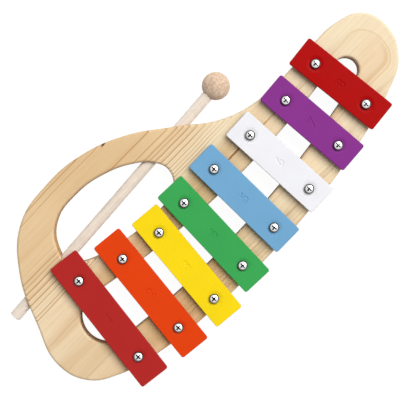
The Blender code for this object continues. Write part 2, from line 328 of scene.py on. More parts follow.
def growth_rings_group():
    """Turn a count of years into the dark line of late wood and a tone for each year."""
    inputs = {"Years": 0.0, "Late Share": 0.3, "Weakest Year": 0.2}
    group, given, result = new_tree("Growth rings", "Shader", inputs, ("Late Wood", "Year Tone"))
    season = calculate("FRACT", given["Years"])
    late = ease(season, 1.0 - given["Late Share"], 1.0 - given["Late Share"] * DARKEST_PART)
    year = calculate("FLOOR", given["Years"])
    draw = shader(group, "TexWhiteNoise", {"W": year}, output="Value", noise_dimensions="1D")
    plug(late * remap(draw, 0.0, 1.0, given["Weakest Year"], 1.0), result["Late Wood"])
    plug(draw, result["Year Tone"])
    return group


GROWTH_RINGS = growth_rings_group()
print("made", GROWTH_RINGS.name)

# %% [markdown]
# Wood, part three: the fibres. Between the rings, wood shows fine streaks along the grain and
# short dark pores. Both are noise stretched along X, because the grain of every wooden piece
# here runs along X, or nearly so.

# %% Group: fibres
PORE_FINENESS = 3.0
PORE_LEVELS = (0.66, 0.78)


def fibres_group():
    """Make fine streaks and short pores that run along X."""
    inputs = {"Vector": "Vector", "Fibre Length": 30 * MM, "Fibre Width": 0.5 * MM}
    group, given, result = new_tree("Fibres", "Shader", inputs, ("Streak", "Pore"))
    crosswise = 1.0 / given["Fibre Width"]
    scale = join(1.0 / given["Fibre Length"], crosswise, crosswise)
    place = shader(group, "VectorMath", {0: given["Vector"], 1: scale}, operation="MULTIPLY")
    plug(noise(place, 1.0, detail=3.0), result["Streak"])
    plug(remap(noise(place, PORE_FINENESS, detail=1.0), *PORE_LEVELS), result["Pore"])
    return group


FIBRES = fibres_group()
print("made", FIBRES.name)

# %% [markdown]
# Finish: skin and handling. Sprayed enamel, plating and lacquer are never perfectly flat: they
# have a fine ripple, and hands leave slightly duller patches and hair-thin scratches. One group
# gives all of them, and each finish uses its own size and strength.

# %% Group: skin and handling
SCRATCH_TURN = (0.0, 0.0, math.radians(35))
SCRATCH_SHAPE = (1.0, 60.0, 60.0)
SCRATCH_LEVELS = (0.74, 0.8)


def skin_group():
    """Make a fine ripple, dull patches and hair-thin scratches."""
    inputs = {"Vector": "Vector", "Ripple Size": 1 * MM, "Patch Size": 25 * MM}
    outputs = ("Ripple", "Patch", "Scratch")
    group, given, result = new_tree("Skin and handling", "Shader", inputs, outputs)
    vector = given["Vector"]
    patches = 1.0 / given["Patch Size"]
    plug(noise(vector, 1.0 / given["Ripple Size"], detail=1.0), result["Ripple"])
    plug(noise(vector, patches, detail=3.0), result["Patch"])
    slant = {0: vector, "Rotation": SCRATCH_TURN, "Scale": SCRATCH_SHAPE}
    hairs = noise(shader(group, "Mapping", slant), patches, detail=0.0)
    plug(remap(hairs, *SCRATCH_LEVELS), result["Scratch"])
    return group


SKIN = skin_group()
print("made", SKIN.name)

# %% [markdown]
# Materials. Every material starts the same way: a Principled shader, and Object coordinates,
# which are the frame's own metres on every piece here, so a pattern stays where it is however
# the piece was made. It ends with a colour, a roughness and a height for the Bump node.

# %% Start and finish a material
DULL_PATCHES = (0.3, 0.7)
SCRATCH_ROUGHNESS = 0.2


def start_material(name, **levels):
    """Make a material, and return it with its shader and its coordinates."""
    material = bpy.data.materials.new(name)
    material.use_nodes = True
    surface = material.node_tree.nodes["Principled BSDF"]
    for label, level in levels.items():
        surface.inputs[label.replace("_", " ")].default_value = level
    return material, surface, shader(material.node_tree, "TexCoord", output="Object")


def skin_of(where, ripple, patch):
    """Lay the skin group on a material."""
    return use_group(SKIN, {"Vector": where, "Ripple Size": ripple, "Patch Size": patch})


def patchy(skin, least, most):
    """Let the roughness drift between two levels."""
    return remap(skin["Patch"], *DULL_PATCHES, least, most)


def scratched(skin, least, most):
    """Let the roughness drift, and scratch it."""
    return patchy(skin, least, most) + skin["Scratch"] * SCRATCH_ROUGHNESS


def finish_material(surface, colour, roughness, height, depth, strength):
    """Wire a colour, a roughness and a relief into the shader."""
    relief = {"Height": height, "Distance": depth, "Strength": strength}
    plug(colour, surface.inputs["Base Color"])
    plug(roughness, surface.inputs["Roughness"])
    plug(shader(tree_of(height), "Bump", relief), surface.inputs["Normal"])


print("materials start from a Principled shader")

# %% [markdown]
# Pine. Four curves run from the pith outwards. The first counts the years: one wide
# ring makes the arch in the lobe by the short bars, eight narrow ones run beside the long bars
# and up the neck, and few and far ones cross the carrying loop. The second says how much of
# each year is dark, the third how dark, and the fourth where redder wood follows the line.

# %% Pine's years, drawn from the pith outwards
LOG_REACH = (50 * MM, 140 * MM)
YEAR_STARTS = (
    0.0, 0.2564, 0.3376, 0.3514, 0.3661, 0.3831, 0.4016, 0.4268, 0.4552, 0.4871, 0.5142, 0.5404,
    0.5819, 0.6593, 0.8466, 0.8913, 1.0,
)
LATE_WOOD_SHARES = (
    (0.0, 0.03), (0.26, 0.03), (0.30, 0.08), (0.335, 0.08), (0.345, 0.45), (0.37, 0.44),
    (0.40, 0.38), (0.43, 0.30), (0.487, 0.26), (0.50, 0.34), (0.53, 0.45), (0.56, 0.33),
    (0.60, 0.16), (0.66, 0.15), (0.69, 0.06), (0.84, 0.06), (0.86, 0.28), (1.0, 0.20),
)
DARKNESS_SHARES = (
    (0.0, 0.1), (0.23, 0.3), (0.26, 0.35), (0.27, 0.1), (0.32, 0.2), (0.34, 0.75), (0.40, 0.65),
    (0.43, 0.85), (0.487, 1.0), (0.51, 0.7), (0.54, 0.75), (0.60, 0.7), (0.66, 1.0), (0.70, 0.2),
    (0.84, 0.5), (0.89, 0.8), (1.0, 0.3),
)
BLUSH_SHARES = (
    (0.0, 0.0), (0.40, 0.0), (0.45, 0.6), (0.58, 0.8), (0.64, 0.4), (0.70, 0.0), (1.0, 0.0),
)
YEARS_IN_BOARD = len(YEAR_STARTS) - 1
YEARS_SHARES = [(start, year / YEARS_IN_BOARD) for year, start in enumerate(YEAR_STARTS)]
print("the board crosses", YEARS_IN_BOARD, "years")

# %% [markdown]
# Where the board's figure changes. The ground goes from cream by the short bars to a rosy tone
# by the long ones and to tan on the loop, and the low lobe has broad soft bands. The wood
# between the long bars and on the front rail is painted browner and darker, as painted shade.
# The sawn sides are browner and duller than the faces; their darker colour is partly painted
# shade, and towards the short bars they are painted paler, as painted light. One pin knot lies
# on the loop's outer edge. Each change is a ramp: two places and two values.

# %% Where the rings fade, and how strongly
LOW_SIDE = (-62 * MM, -40 * MM, 0.2, 1.0)
FAR_NECK = (-95 * MM, -125 * MM)
FAR_LOSS = (0.35, 0.55, 0.9, 0.0)
NARROW_TIP = (15 * MM, 45 * MM, 1.0, 0.35)
ARCH_GROW = (-5 * MM, 22 * MM)
ARCH_FADE = (38 * MM, 105 * MM)
ARCH_STRENGTHS = (0.6, 3.5, 0.8)
ARCH_SHARES = (0.28, 0.32, 1.0, 0.0)
PLAIN_SHARES = (0.6, 0.69)
PLAIN_ARM = (-80 * MM, -105 * MM)


def along_the_rings(share, x, tone):
    """Fade the narrow rings along the neck, and the arch's own ring towards both ends."""
    lost = ease(x, *FAR_NECK) * remap(tone, *FAR_LOSS)
    narrow = ease(x, *NARROW_TIP) * (1.0 - lost)
    grown = ease(x, *ARCH_GROW, *ARCH_STRENGTHS[:2])
    arch = calculate("MINIMUM", grown, ease(x, *ARCH_FADE, *ARCH_STRENGTHS[1:]))
    return remap(remap(share, *ARCH_SHARES), 0.0, 1.0, narrow, arch)


def plain_arm(share, x):
    """Mask the stretch of the loop's far arm where the wide rings fade out."""
    inner, outer = PLAIN_SHARES
    edge = (outer - inner) / 4
    starts = remap(share, inner, inner + edge)
    return starts * remap(share, outer, outer - edge) * ease(x, *PLAIN_ARM)


print("the arch's ring is strongest between", [round(x / MM) for x in (ARCH_GROW[1], ARCH_FADE[0])])

# %% The rail's fine rings, and the redder wood
TOWARDS_FRONT = (-20 * MM, -36 * MM)
RAIL_START = (-122 * MM, -104 * MM)
RAIL_END = (-10 * MM, 60 * MM, 0.55, 0.3)
RAIL_RING = 1.9 * MM
BLUSH_SEASON = (0.0, 0.55, 1.0, 0.0)
BLUSH_TONES = (0.2, 0.8)


def rail_rings(distance, x, y):
    """Draw the fine rings of the narrow rail in front of the channel."""
    years = distance / RAIL_RING
    rings = use_group(GROWTH_RINGS, {"Years": years, "Late Share": 0.6, "Weakest Year": 0.1})
    stretch = remap(x, *RAIL_START) * remap(x, *RAIL_END)
    return rings["Late Wood"] * (remap(y, *TOWARDS_FRONT) * stretch)


def after_the_line(share, years, tone):
    """Mask the redder wood that follows the dark line of some of the wide rings."""
    after = ease(calculate("FRACT", years), *BLUSH_SEASON)
    return after * (remap(tone, *BLUSH_TONES) * curve_through(share, BLUSH_SHARES))


print("the rail's rings are", round(RAIL_RING / MM, 1), "mm wide")

# %% Masks for painted shade, sawn sides and the knot
SHADE_START = (-138 * MM, -114 * MM)
SHADE_END = (-40 * MM, 70 * MM, 1.0, 0.0)
SHADE_BACK = (6 * MM, 20 * MM, 1.0, 0.0)
SHADE_MIDDLE = -29 * MM
SHADE_LEAN = 1.38
SAWN_FROM = 2 * MM
SAWN_FULL = 2.4 * MM
KNOT_PLACE = (-36 * MM, 81 * MM, 19 * MM)
KNOT_TURN = (0.0, 0.0, math.radians(12))
KNOT_SIZE = (4 * MM, 1.4 * MM, 4 * MM)
KNOT_EDGE = (0.5, 1.0, 1.0, 0.0)


def between_long_bars(x, y):
    """Mask the painted shade on the wood between the long bars; it reaches farther along X towards
    the loop.
    """
    leaning = x - (y - SHADE_MIDDLE) * SHADE_LEAN
    return ease(x, *SHADE_START) * ease(leaning, *SHADE_END) * ease(y, *SHADE_BACK)


def sawn_sides(z):
    """Mask the board's sides between its two rounded edges."""
    return remap(z, SAWN_FROM, SAWN_FULL) * remap(z, BOARD_TOP - SAWN_FROM, BOARD_TOP - SAWN_FULL)


def pin_knot(where):
    """Mask one small dark knot, a little longer than it is wide."""
    knot = {0: where, "Location": KNOT_PLACE, "Rotation": KNOT_TURN, "Scale": KNOT_SIZE}
    from_knot = shader(tree_of(where), "Mapping", knot, vector_type="TEXTURE")
    return ease(length_of(from_knot), *KNOT_EDGE)


print("the knot is", round(KNOT_SIZE[0] / MM, 1), "mm long")

# %% Pine's colours
PINE_CREAM = chart(240, 225, 193)
PINE_HEART = chart(234, 212, 177)
PINE_ROSE = chart(242, 221, 186)
PINE_TAN = chart(230, 200, 156)
PINE_DEEP = chart(222, 189, 143)
PINE_BAND_AND_SHADE = chart(218, 180, 132)
PINE_PAINTED_SHADE = chart(202, 160, 101)
PINE_SAWN_SHADED = chart(198, 160, 114)
PINE_SAWN_LIT = chart(226, 200, 162)
PINE_LATE = chart(180, 134, 80)
PINE_GOLD = chart(195, 140, 60)
PINE_ROAST = chart(136, 82, 42)
PINE_PORE = chart(176, 130, 84)
PINE_BLUSH = chart(206, 156, 106)
PINE_KNOT = chart(96, 62, 36)
print("cream pine in linear light:", [round(level, 2) for level in PINE_CREAM[:3]])

# %% The ground between the rings
ROSE_TO_CREAM = (-150 * MM, 130 * MM)
HEART_ACROSS = (-22 * MM, -8 * MM, 1.0, 0.3)
HEART_SHARES = (0.245, 0.26, 1.0, 0.0)
DEEP_START = (-115 * MM, -70 * MM)
DEEP_END = (-30 * MM, 5 * MM, 1.0, 0.0)
TAN_SHARES = (0.34, 0.62)
FRONT_SHADE_TONE = 0.35
FRONT_SHADE_FADE = (-45 * MM, 45 * MM, 1.0, 0.0)
BAND_LEVELS = (0.42, 0.62)
BAND_ALONG = (0.0, 65 * MM, 1.0, 0.2)
BAND_ACROSS = (0.0, 12 * MM, 1.0, 0.1)
BAND_TONE = 0.5


def pine_ground(share, where):
    """Blend the colours that the wood has between its rings, and painted shade on the front rail.
    """
    x, y, _ = split(where)
    bands = use_group(FIBRES, {"Vector": where, "Fibre Length": 160 * MM, "Fibre Width": 14 * MM})
    heart = ease(y, *HEART_ACROSS) * remap(share, *HEART_SHARES)
    deep = ease(x, *DEEP_START) * ease(x, *DEEP_END)
    # Painted shade: the front rail is darkened towards the long bars, where the wood between their
    # front ends lies in shade.
    front = ease(y, *TOWARDS_FRONT, 0.0, FRONT_SHADE_TONE) * remap(x, *FRONT_SHADE_FADE)
    band = ease(bands["Streak"], *BAND_LEVELS) * (ease(x, *BAND_ALONG) * ease(y, *BAND_ACROSS))
    ends = mix_colours(remap(x, *ROSE_TO_CREAM), PINE_ROSE, PINE_CREAM)
    hearty = mix_colours(heart, ends, PINE_HEART)
    tan = mix_colours(deep, PINE_TAN, PINE_DEEP)
    ground = mix_colours(front, mix_colours(ease(share, *TAN_SHARES), hearty, tan), PINE_BAND_AND_SHADE)
    return ground, band * BAND_TONE


print("rose turns to cream over", round((ROSE_TO_CREAM[1] - ROSE_TO_CREAM[0]) / MM), "mm")

# %% Pine for the board
PITH = {"Pith Y": -21.5 * MM, "Pith Z": -50 * MM, "Arch Start": 167 * MM, "Arch Stretch": 1.35}
RING_DRIFT = {"Wander": 5 * MM, "Wander Length": 70 * MM}
CLOUDS = (0.35, 0.75, 0.0, 0.35)
PAINTED_SHADE_TONE = 0.65
SAWN_LIT_TOWARDS_SHORT_BARS = (65 * MM, 130 * MM)
LATE_SHARES = (0.27, 0.33)
STREAKS = (0.35, 0.75, 0.0, 0.2)
PORE_TONE = 0.3
SAWN_ROUGHNESS = 0.95
STREAK_RELIEF = 0.6


def make_pine():
    """Pine, sanded and lacquered: rings, fibres and a satin skin."""
    material, surface, where = start_material("pine", Specular_IOR_Level=0.2)
    x, y, z = split(where)
    distance = use_group(PITH_DISTANCE, {"Vector": where, **PITH, **RING_DRIFT})["Distance"]
    share = remap(distance, *LOG_REACH)
    years = curve_through(share, YEARS_SHARES) * float(YEARS_IN_BOARD)
    late_share = curve_through(share, LATE_WOOD_SHARES)
    count = {"Years": years, "Late Share": late_share, "Weakest Year": 0.75}
    rings = use_group(GROWTH_RINGS, count)
    fibres = use_group(FIBRES, {"Vector": where, "Fibre Length": 45 * MM, "Fibre Width": 0.7 * MM})
    skin = skin_of(where, ripple=2 * MM, patch=60 * MM)
    kept = calculate("SUBTRACT", ease(y, *LOW_SIDE), plain_arm(share, x), clamp=True)
    kept = kept * along_the_rings(share, x, rings["Year Tone"])
    line = rings["Late Wood"] * (curve_through(share, DARKNESS_SHARES) * kept)
    line = calculate("MAXIMUM", line, rail_rings(distance, x, y))
    colour, band = pine_ground(share, where)
    sawn = sawn_sides(z)
    # The sawn sides' colour is partly their own browner wood and partly painted shade; towards the
    # short bars it is painted paler, as painted light.
    cut = mix_colours(remap(x, *SAWN_LIT_TOWARDS_SHORT_BARS), PINE_SAWN_SHADED, PINE_SAWN_LIT)
    golden = mix_colours(remap(x, *ARCH_FADE), PINE_ROAST, PINE_GOLD)
    late = mix_colours(remap(share, *LATE_SHARES), golden, PINE_LATE)
    layers = (
        (after_the_line(share, years, rings["Year Tone"]), PINE_BLUSH),
        (band, PINE_BAND_AND_SHADE),
        (remap(skin["Patch"], *CLOUDS), PINE_TAN),
        # Painted shade: the wood between the long bars is darkened where the bars shade it.
        (between_long_bars(x, y) * PAINTED_SHADE_TONE, PINE_PAINTED_SHADE),
        (sawn, cut),
        (line, late),
        (remap(fibres["Streak"], *STREAKS), PINE_LATE),
        (fibres["Pore"] * PORE_TONE, PINE_PORE),
        (pin_knot(where), PINE_KNOT),
    )
    for mask, tone in layers:
        colour = mix_colours(mask, colour, tone)
    roughness = calculate("MAXIMUM", patchy(skin, least=0.42, most=0.55), sawn * SAWN_ROUGHNESS)
    relief = line + fibres["Streak"] * STREAK_RELIEF
    finish_material(surface, colour, roughness, relief, depth=0.08 * MM, strength=0.6)
    return material


PINE = make_pine()
print("made", PINE.name)

# %% [markdown]
# The mallet's two woods. The ball is turned from a close-grained wood, and its rings show as
# tight mottled bands with small pores. The stick is a pale dowel with only faint streaks. Both
# use the groups above with smaller sizes. Bare wood scatters light more evenly than lacquer.

# %% Woods for the mallet
BALL_WOOD = chart(233, 210, 187)
BALL_DARK = chart(182, 149, 118)
STICK_WOOD = chart(241, 230, 217)
STICK_DARK = chart(214, 197, 180)
BARE_WOOD = {"Diffuse_Roughness": 0.5, "Specular_IOR_Level": 0.08}
WOOD_CLOUDS = (0.4, 0.7, 0.0, 0.3)
SPECKLES = (0.4, 0.65, 0.0)
WOOD_PORES = 0.6


def make_small_wood(name, pale, dark, ring, pith, ringing, speckle):
    """A close-grained wood for a turned piece."""
    material, surface, where = start_material(name, **BARE_WOOD)
    drift = {"Wander": ring, "Wander Length": 8 * MM}
    place = {"Vector": where, "Pith Y": pith.y, "Pith Z": pith.z, **drift}
    years = use_group(PITH_DISTANCE, place)["Distance"] / ring
    rings = use_group(GROWTH_RINGS, {"Years": years, "Late Share": 0.7, "Weakest Year": 0.1})
    fibres = use_group(FIBRES, {"Vector": where, "Fibre Length": 6 * MM, "Fibre Width": 0.5 * MM})
    skin = skin_of(where, ripple=1.7 * MM, patch=7 * MM)
    colour = mix_colours(rings["Late Wood"] * ringing, pale, dark)
    speckled = remap(skin["Ripple"], *SPECKLES, speckle)
    for mask in (remap(skin["Patch"], *WOOD_CLOUDS), speckled, fibres["Pore"] * WOOD_PORES):
        colour = mix_colours(mask, colour, dark)
    roughness = patchy(skin, least=0.5, most=0.6)
    finish_material(surface, colour, roughness, fibres["Streak"], depth=0.1 * MM, strength=0.5)
    return material


BALL_MIDDLE = box_middle("mallet_head")
BALL_PITH = BALL_MIDDLE - Vector((0, 6 * MM, 18 * MM))
STICK_PITH = BALL_MIDDLE - Vector((0, 30 * MM, 20 * MM))
BALL_RINGS_LOOK = {"ring": 1.6 * MM, "pith": BALL_PITH, "ringing": 0.2, "speckle": 0.5}
STICK_RINGS_LOOK = {"ring": 2.4 * MM, "pith": STICK_PITH, "ringing": 0.3, "speckle": 0.1}
BALL_MATERIAL = make_small_wood("turned_ball", BALL_WOOD, BALL_DARK, **BALL_RINGS_LOOK)
STICK_MATERIAL = make_small_wood("pale_dowel", STICK_WOOD, STICK_DARK, **STICK_RINGS_LOOK)
print("made", BALL_MATERIAL.name, "and", STICK_MATERIAL.name)

# %% [markdown]
# Enamel. The bars are sprayed and baked: a thick, even colour with a fine ripple, which a soft
# lamp shows as a satin sheen. The colour drifts a little over a bar, its rounded edges are
# painted darker as painted shade, and scratches are rare.

# %% Enamel for the bars
ENAMEL_CHART = (
    ("red_enamel", (179, 43, 40)),
    ("orange_enamel", (226, 67, 17)),
    ("yellow_enamel", (248, 216, 24)),
    ("green_enamel", (61, 166, 85)),
    ("blue_enamel", (115, 168, 206)),
    ("white_enamel", (237, 237, 241)),
    ("purple_enamel", (136, 52, 140)),
    ("deep_red_enamel", (173, 12, 10)),
)
SHADE_DEPTH = 0.9
SHADE_LEVELS = (0.35, 0.75, 0.0, 0.5)
RIM_SHADE_DEPTH = 0.55
RIM_SHADE_FACING = (0.5, 0.95, 0.5, 0.0)


def dimmed(colour, depth):
    """Return a darker tone of a colour."""
    return (*(light * depth for light in colour[:3]), 1.0)


def make_enamel(name, colour):
    """Sprayed and baked enamel in one colour."""
    material, surface, where = start_material(name, Specular_IOR_Level=0.04)
    skin = skin_of(where, ripple=0.9 * MM, patch=22 * MM)
    full = chart(*colour)
    drifting = mix_colours(remap(skin["Patch"], *SHADE_LEVELS), full, dimmed(full, SHADE_DEPTH))
    # Painted shade: the paint is darker where the surface turns away from straight up, on the
    # rounded edges.
    upright = split(shader(material.node_tree, "TexCoord", output="Normal"))[2]
    rim_shaded = mix_colours(remap(upright, *RIM_SHADE_FACING), drifting, dimmed(full, RIM_SHADE_DEPTH))
    roughness = scratched(skin, least=0.26, most=0.36)
    finish_material(surface, rim_shaded, roughness, skin["Ripple"], depth=0.02 * MM, strength=0.5)
    return material


ENAMELS = [make_enamel(name, colour) for name, colour in ENAMEL_CHART]
print("made", len(ENAMELS), "enamels")

# %% [markdown]
# Plating and rubber. The screws are bright plated steel, so nearly all of their look is what
# they reflect. A trace of ripple keeps the reflections from being perfect, and the low rim of
# the head and the bottom of its cross are painted darker, as painted shade. The bushes are
# dull black rubber with a powdery bloom.

# %% Plating and rubber
PLATE_TONES = (chart(252, 252, 252), chart(236, 236, 238))
RECESS_SHADE = chart(104, 95, 88)
RECESS_SHADE_FULL = 1.25 * MM
RECESS_SHADE_FROM = 0.9 * MM
RUBBER_TONES = (chart(38, 38, 38), chart(62, 60, 58))


def make_plating():
    """Bright plated steel with a trace of ripple and fine scratches."""
    material, surface, where = start_material("bright_plating", Metallic=1.0)
    skin = skin_of(where, ripple=1.2 * MM, patch=4 * MM)
    # Painted shade: the plating is darker low on the head, on its rim and at the bottom of its
    # cross.
    unshaded = remap(split(where)[2], HEAD_TOP - RECESS_SHADE_FULL, HEAD_TOP - RECESS_SHADE_FROM)
    tone = mix_colours(unshaded, RECESS_SHADE, mix_colours(skin["Patch"], *PLATE_TONES))
    roughness = scratched(skin, least=0.06, most=0.14)
    finish_material(surface, tone, roughness, skin["Ripple"], depth=0.01 * MM, strength=0.4)
    return material


def make_rubber():
    """Dull black rubber with a powdery bloom."""
    material, surface, where = start_material("bush_rubber")
    skin = skin_of(where, ripple=0.4 * MM, patch=3 * MM)
    bloom = mix_colours(skin["Patch"], *RUBBER_TONES)
    roughness = patchy(skin, least=0.7, most=0.9)
    finish_material(surface, bloom, roughness, skin["Ripple"], depth=0.05 * MM, strength=0.5)
    return material


PLATING = make_plating()
RUBBER = make_rubber()
print("made", PLATING.name, "and", RUBBER.name)

# %% [markdown]
# Shape helpers. Turned pieces, such as the ball, a screw or a bush, are a profile spun round an
# axis. Flat pieces are a filled curve with a rounded edge. A finished piece is always a plain
# mesh whose object sits at the origin, as the frame's own parts do.

# %% Helpers for objects
def add_object(name, data):
    """Put a mesh or a curve into the scene."""
    item = bpy.data.objects.new(name, data)
    bpy.context.scene.collection.objects.link(item)
    return item


def shape_of(item):
    """Return an object's shape as a plain mesh, with its modifiers applied."""
    bpy.context.view_layer.update()
    graph = bpy.context.evaluated_depsgraph_get()
    return bpy.data.meshes.new_from_object(item.evaluated_get(graph))


def adjust(item, **settings):
    """Set several properties at once."""
    for name, value in settings.items():
        setattr(item, name, value)


def drop(*items):
    """Delete helper objects."""
    for item in items:
        bpy.data.objects.remove(item, do_unlink=True)


# %% Helpers for closed meshes
WELD = 0.005 * MM
SMOOTH_BELOW = math.radians(35)
UPRIGHT = Matrix()


def close_mesh(name, shell):
    """Merge doubles, point the faces outwards, and shade them smooth except at real edges."""
    bmesh.ops.remove_doubles(shell, verts=shell.verts, dist=WELD)
    bmesh.ops.recalc_face_normals(shell, faces=shell.faces)
    mesh = bpy.data.meshes.new(name)
    shell.to_mesh(mesh)
    shell.free()
    mesh.shade_smooth()
    mesh.set_sharp_from_angle(angle=SMOOTH_BELOW)
    return mesh


def close_curve(name, curve):
    """Turn a filled curve or a text into a closed mesh."""
    guide = add_object(name, curve)
    shell = bmesh.new()
    shell.from_mesh(shape_of(guide))
    drop(guide)
    return close_mesh(name, shell)


def arc(centre, radius, start, sweep, steps):
    """Return points along an arc, both ends included."""
    angles = [start + sweep * step / steps for step in range(steps + 1)]
    return [centre + radius * Vector((math.cos(angle), math.sin(angle))) for angle in angles]


def turned(name, profile, sides, place=UPRIGHT):
    """Spin a profile of (radius, height) points round Z, then lay it in its place."""
    shell = bmesh.new()
    rings = []
    for radius, height in profile:
        corners = arc(Vector((0.0, 0.0)), radius, 0.0, math.tau, sides)[:-1]
        rings.append([shell.verts.new((corner.x, corner.y, height)) for corner in corners])
    if max(profile[0][0], profile[-1][0]) > WELD:
        rings.append(rings[0])
    for lower, upper in zip(rings, rings[1:]):
        for side in range(sides):
            following = (side + 1) % sides
            shell.faces.new((lower[side], lower[following], upper[following], upper[side]))
    mesh = close_mesh(name, shell)
    mesh.transform(place)
    return mesh


print("edges over", round(math.degrees(SMOOTH_BELOW)), "degrees stay sharp")

# %% Helpers for cutting and finishing
SHARP = math.radians(40)


def carve(item, *cutters):
    """Cut other objects out of one."""
    for cutter in cutters:
        boolean = item.modifiers.new(cutter.name, "BOOLEAN")
        adjust(boolean, operation="DIFFERENCE", solver="EXACT", use_self=True, object=cutter)


def round_edges(item, width, segments):
    """Round every sharp edge."""
    bevel = item.modifiers.new("rounded_edges", "BEVEL")
    adjust(bevel, width=width, segments=segments, limit_method="ANGLE", angle_limit=SHARP)


def even_shading(item):
    """Let broad flat faces decide the shading next to narrow rounded ones."""
    item.modifiers.new("even_shading", "WEIGHTED_NORMAL").keep_sharp = True


def finish_piece(name, item, material, body, nodes):
    """Turn a working object into a finished piece that stands for some parts of the frame."""
    mesh = shape_of(item)
    drop(item)
    mesh.materials.clear()
    mesh.materials.append(material)
    piece = add_object(name, mesh)
    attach(piece, body)
    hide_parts(*nodes)
    mesh.calc_loop_triangles()
    print(name, "has", len(mesh.loop_triangles), "triangles")


print("a finished piece rides a body, fills a slot and stands for parts of the frame")

# %% [markdown]
# The board. Its outline is one closed curve through 23 points, from the lobe by the shortest
# bar round the carrying loop and back. The loop's opening is a second curve through 13 points,
# and the channel under the bars is a bowed slot that tapers between two round ends. A smooth
# curve through few points stays fair, where many points would leave bumps. Filling the curves
# and rounding their edge gives the whole board at once.

# %% The board's outline
LONGEST_BAR = 122 * MM
BOARD_SHARES = (
    (1.226, 0.020), (1.202, 0.187), (1.125, 0.267), (0.970, 0.271), (0.800, 0.278), (0.676, 0.366),
    (0.558, 0.561), (0.433, 0.757), (0.300, 0.875), (0.160, 0.908), (0.018, 0.851), (-0.094, 0.630),
    (-0.172, 0.298), (-0.216, 0.020), (-0.188, -0.200), (-0.109, -0.327), (0.048, -0.427),
    (0.262, -0.481), (0.486, -0.496), (0.693, -0.472), (0.898, -0.410), (1.086, -0.304),
    (1.183, -0.193),
)
LOOP_SHARES = (
    (0.451, 0.384), (0.436, 0.488), (0.389, 0.586), (0.304, 0.680), (0.197, 0.724), (0.097, 0.689),
    (0.042, 0.558), (0.034, 0.443), (0.062, 0.382), (0.131, 0.315), (0.232, 0.263), (0.337, 0.246),
    (0.419, 0.280),
)
ROW_START = (SCREW_PLACES[1, "front"] + SCREW_PLACES[1, "back"]).x / 2
ROW_LENGTH = (SCREW_PLACES[8, "front"] + SCREW_PLACES[8, "back"]).x / 2 - ROW_START


def on_board(shares):
    """Turn pairs of shares into places on the board, seen from the row's start."""
    return [Vector((along * ROW_LENGTH, across * LONGEST_BAR)) for along, across in shares]


print("the row of bars is", round(ROW_LENGTH / MM, 1), "mm long")

# %% The channel's outline
CHANNEL_LOW_RADIUS = 21.7 * MM
CHANNEL_HIGH_RADIUS = 10.1 * MM
CHANNEL_BOW = 12.6 * MM
CHANNEL_STEPS = 48
CHANNEL_END_SHARES = (-0.004, 1.045)
CHANNEL_START, CHANNEL_FINISH = (share * ROW_LENGTH for share in CHANNEL_END_SHARES)


def channel_middle(x):
    """Return the place and the slope of the channel's bowed middle line."""
    half = (CHANNEL_FINISH - CHANNEL_START) / 2
    share = (x - CHANNEL_START) / half - 1
    return Vector((x, CHANNEL_BOW * (share**2 - 1))), math.atan(2 * share * CHANNEL_BOW / half)


def channel_outline():
    """Return the channel: two bowed sides that close in, between two round ends."""
    upper, lower = [], []
    for step in range(CHANNEL_STEPS + 1):
        share = step / CHANNEL_STEPS
        middle, slope = channel_middle(CHANNEL_START + share * (CHANNEL_FINISH - CHANNEL_START))
        radius = CHANNEL_LOW_RADIUS + share * (CHANNEL_HIGH_RADIUS - CHANNEL_LOW_RADIUS)
        across = radius * Vector((-math.sin(slope), math.cos(slope)))
        upper.append(middle + across)
        lower.append(middle - across)
    low, low_slope = channel_middle(CHANNEL_START)
    high, high_slope = channel_middle(CHANNEL_FINISH)
    low_end = arc(low, CHANNEL_LOW_RADIUS, low_slope + math.pi / 2, math.pi, CHANNEL_STEPS)
    high_end = arc(high, CHANNEL_HIGH_RADIUS, high_slope - math.pi / 2, math.pi, CHANNEL_STEPS // 2)
    return lower[:-1] + high_end + upper[-2:0:-1] + low_end[:-1]


print("the channel's ends are", round((CHANNEL_FINISH - CHANNEL_START) / MM), "mm apart")

# %% Fill the outlines
EDGE_ROUND = 2.2 * MM
SANDED_OFF = 0.08 * MM
OUTLINE_STEPS = 16


def smooth_spline(curve, points):
    """Add a closed smooth line through the points."""
    spline = curve.splines.new("BEZIER")
    spline.bezier_points.add(len(points) - 1)
    adjust(spline, resolution_u=OUTLINE_STEPS, use_cyclic_u=True)
    for knot, point in zip(spline.bezier_points, points):
        adjust(knot, co=point.to_3d(), handle_left_type="AUTO", handle_right_type="AUTO")


def straight_spline(curve, points):
    """Add a closed line of straight runs."""
    spline = curve.splines.new("POLY")
    spline.points.add(len(points) - 1)
    spline.use_cyclic_u = True
    for corner, point in zip(spline.points, points):
        corner.co = (*point.to_3d(), 1.0)


def board_blank():
    """Make the board without its drillings, seated where the frame has it."""
    curve = bpy.data.curves.new("board_outline", "CURVE")
    adjust(curve, dimensions="2D", fill_mode="BOTH", bevel_depth=EDGE_ROUND, bevel_resolution=3)
    adjust(curve, extrude=BOARD_TOP / 2 - EDGE_ROUND, offset=-EDGE_ROUND - SANDED_OFF)
    smooth_spline(curve, on_board(BOARD_SHARES))
    smooth_spline(curve, on_board(LOOP_SHARES))
    straight_spline(curve, channel_outline())
    mesh = close_curve("board_blank", curve)
    reach = [[vertex.co[axis] for vertex in mesh.vertices] for axis in range(3)]
    middle = (Vector([min(row) for row in reach]) + Vector([max(row) for row in reach])) / 2
    mesh.transform(Matrix.Translation(box_middle("frame_board") - middle))
    return mesh


board_work = add_object("board_work", board_blank())
print("board blank:", len(board_work.data.polygons), "faces")

# %% [markdown]
# Drillings. The mallet is stored in a long bore through the board's edge that opens both sides
# of the carrying loop, and every screw has its pilot hole. They are cut with Boolean modifiers,
# as a drill would. The bore's line comes from the mallet's joint.

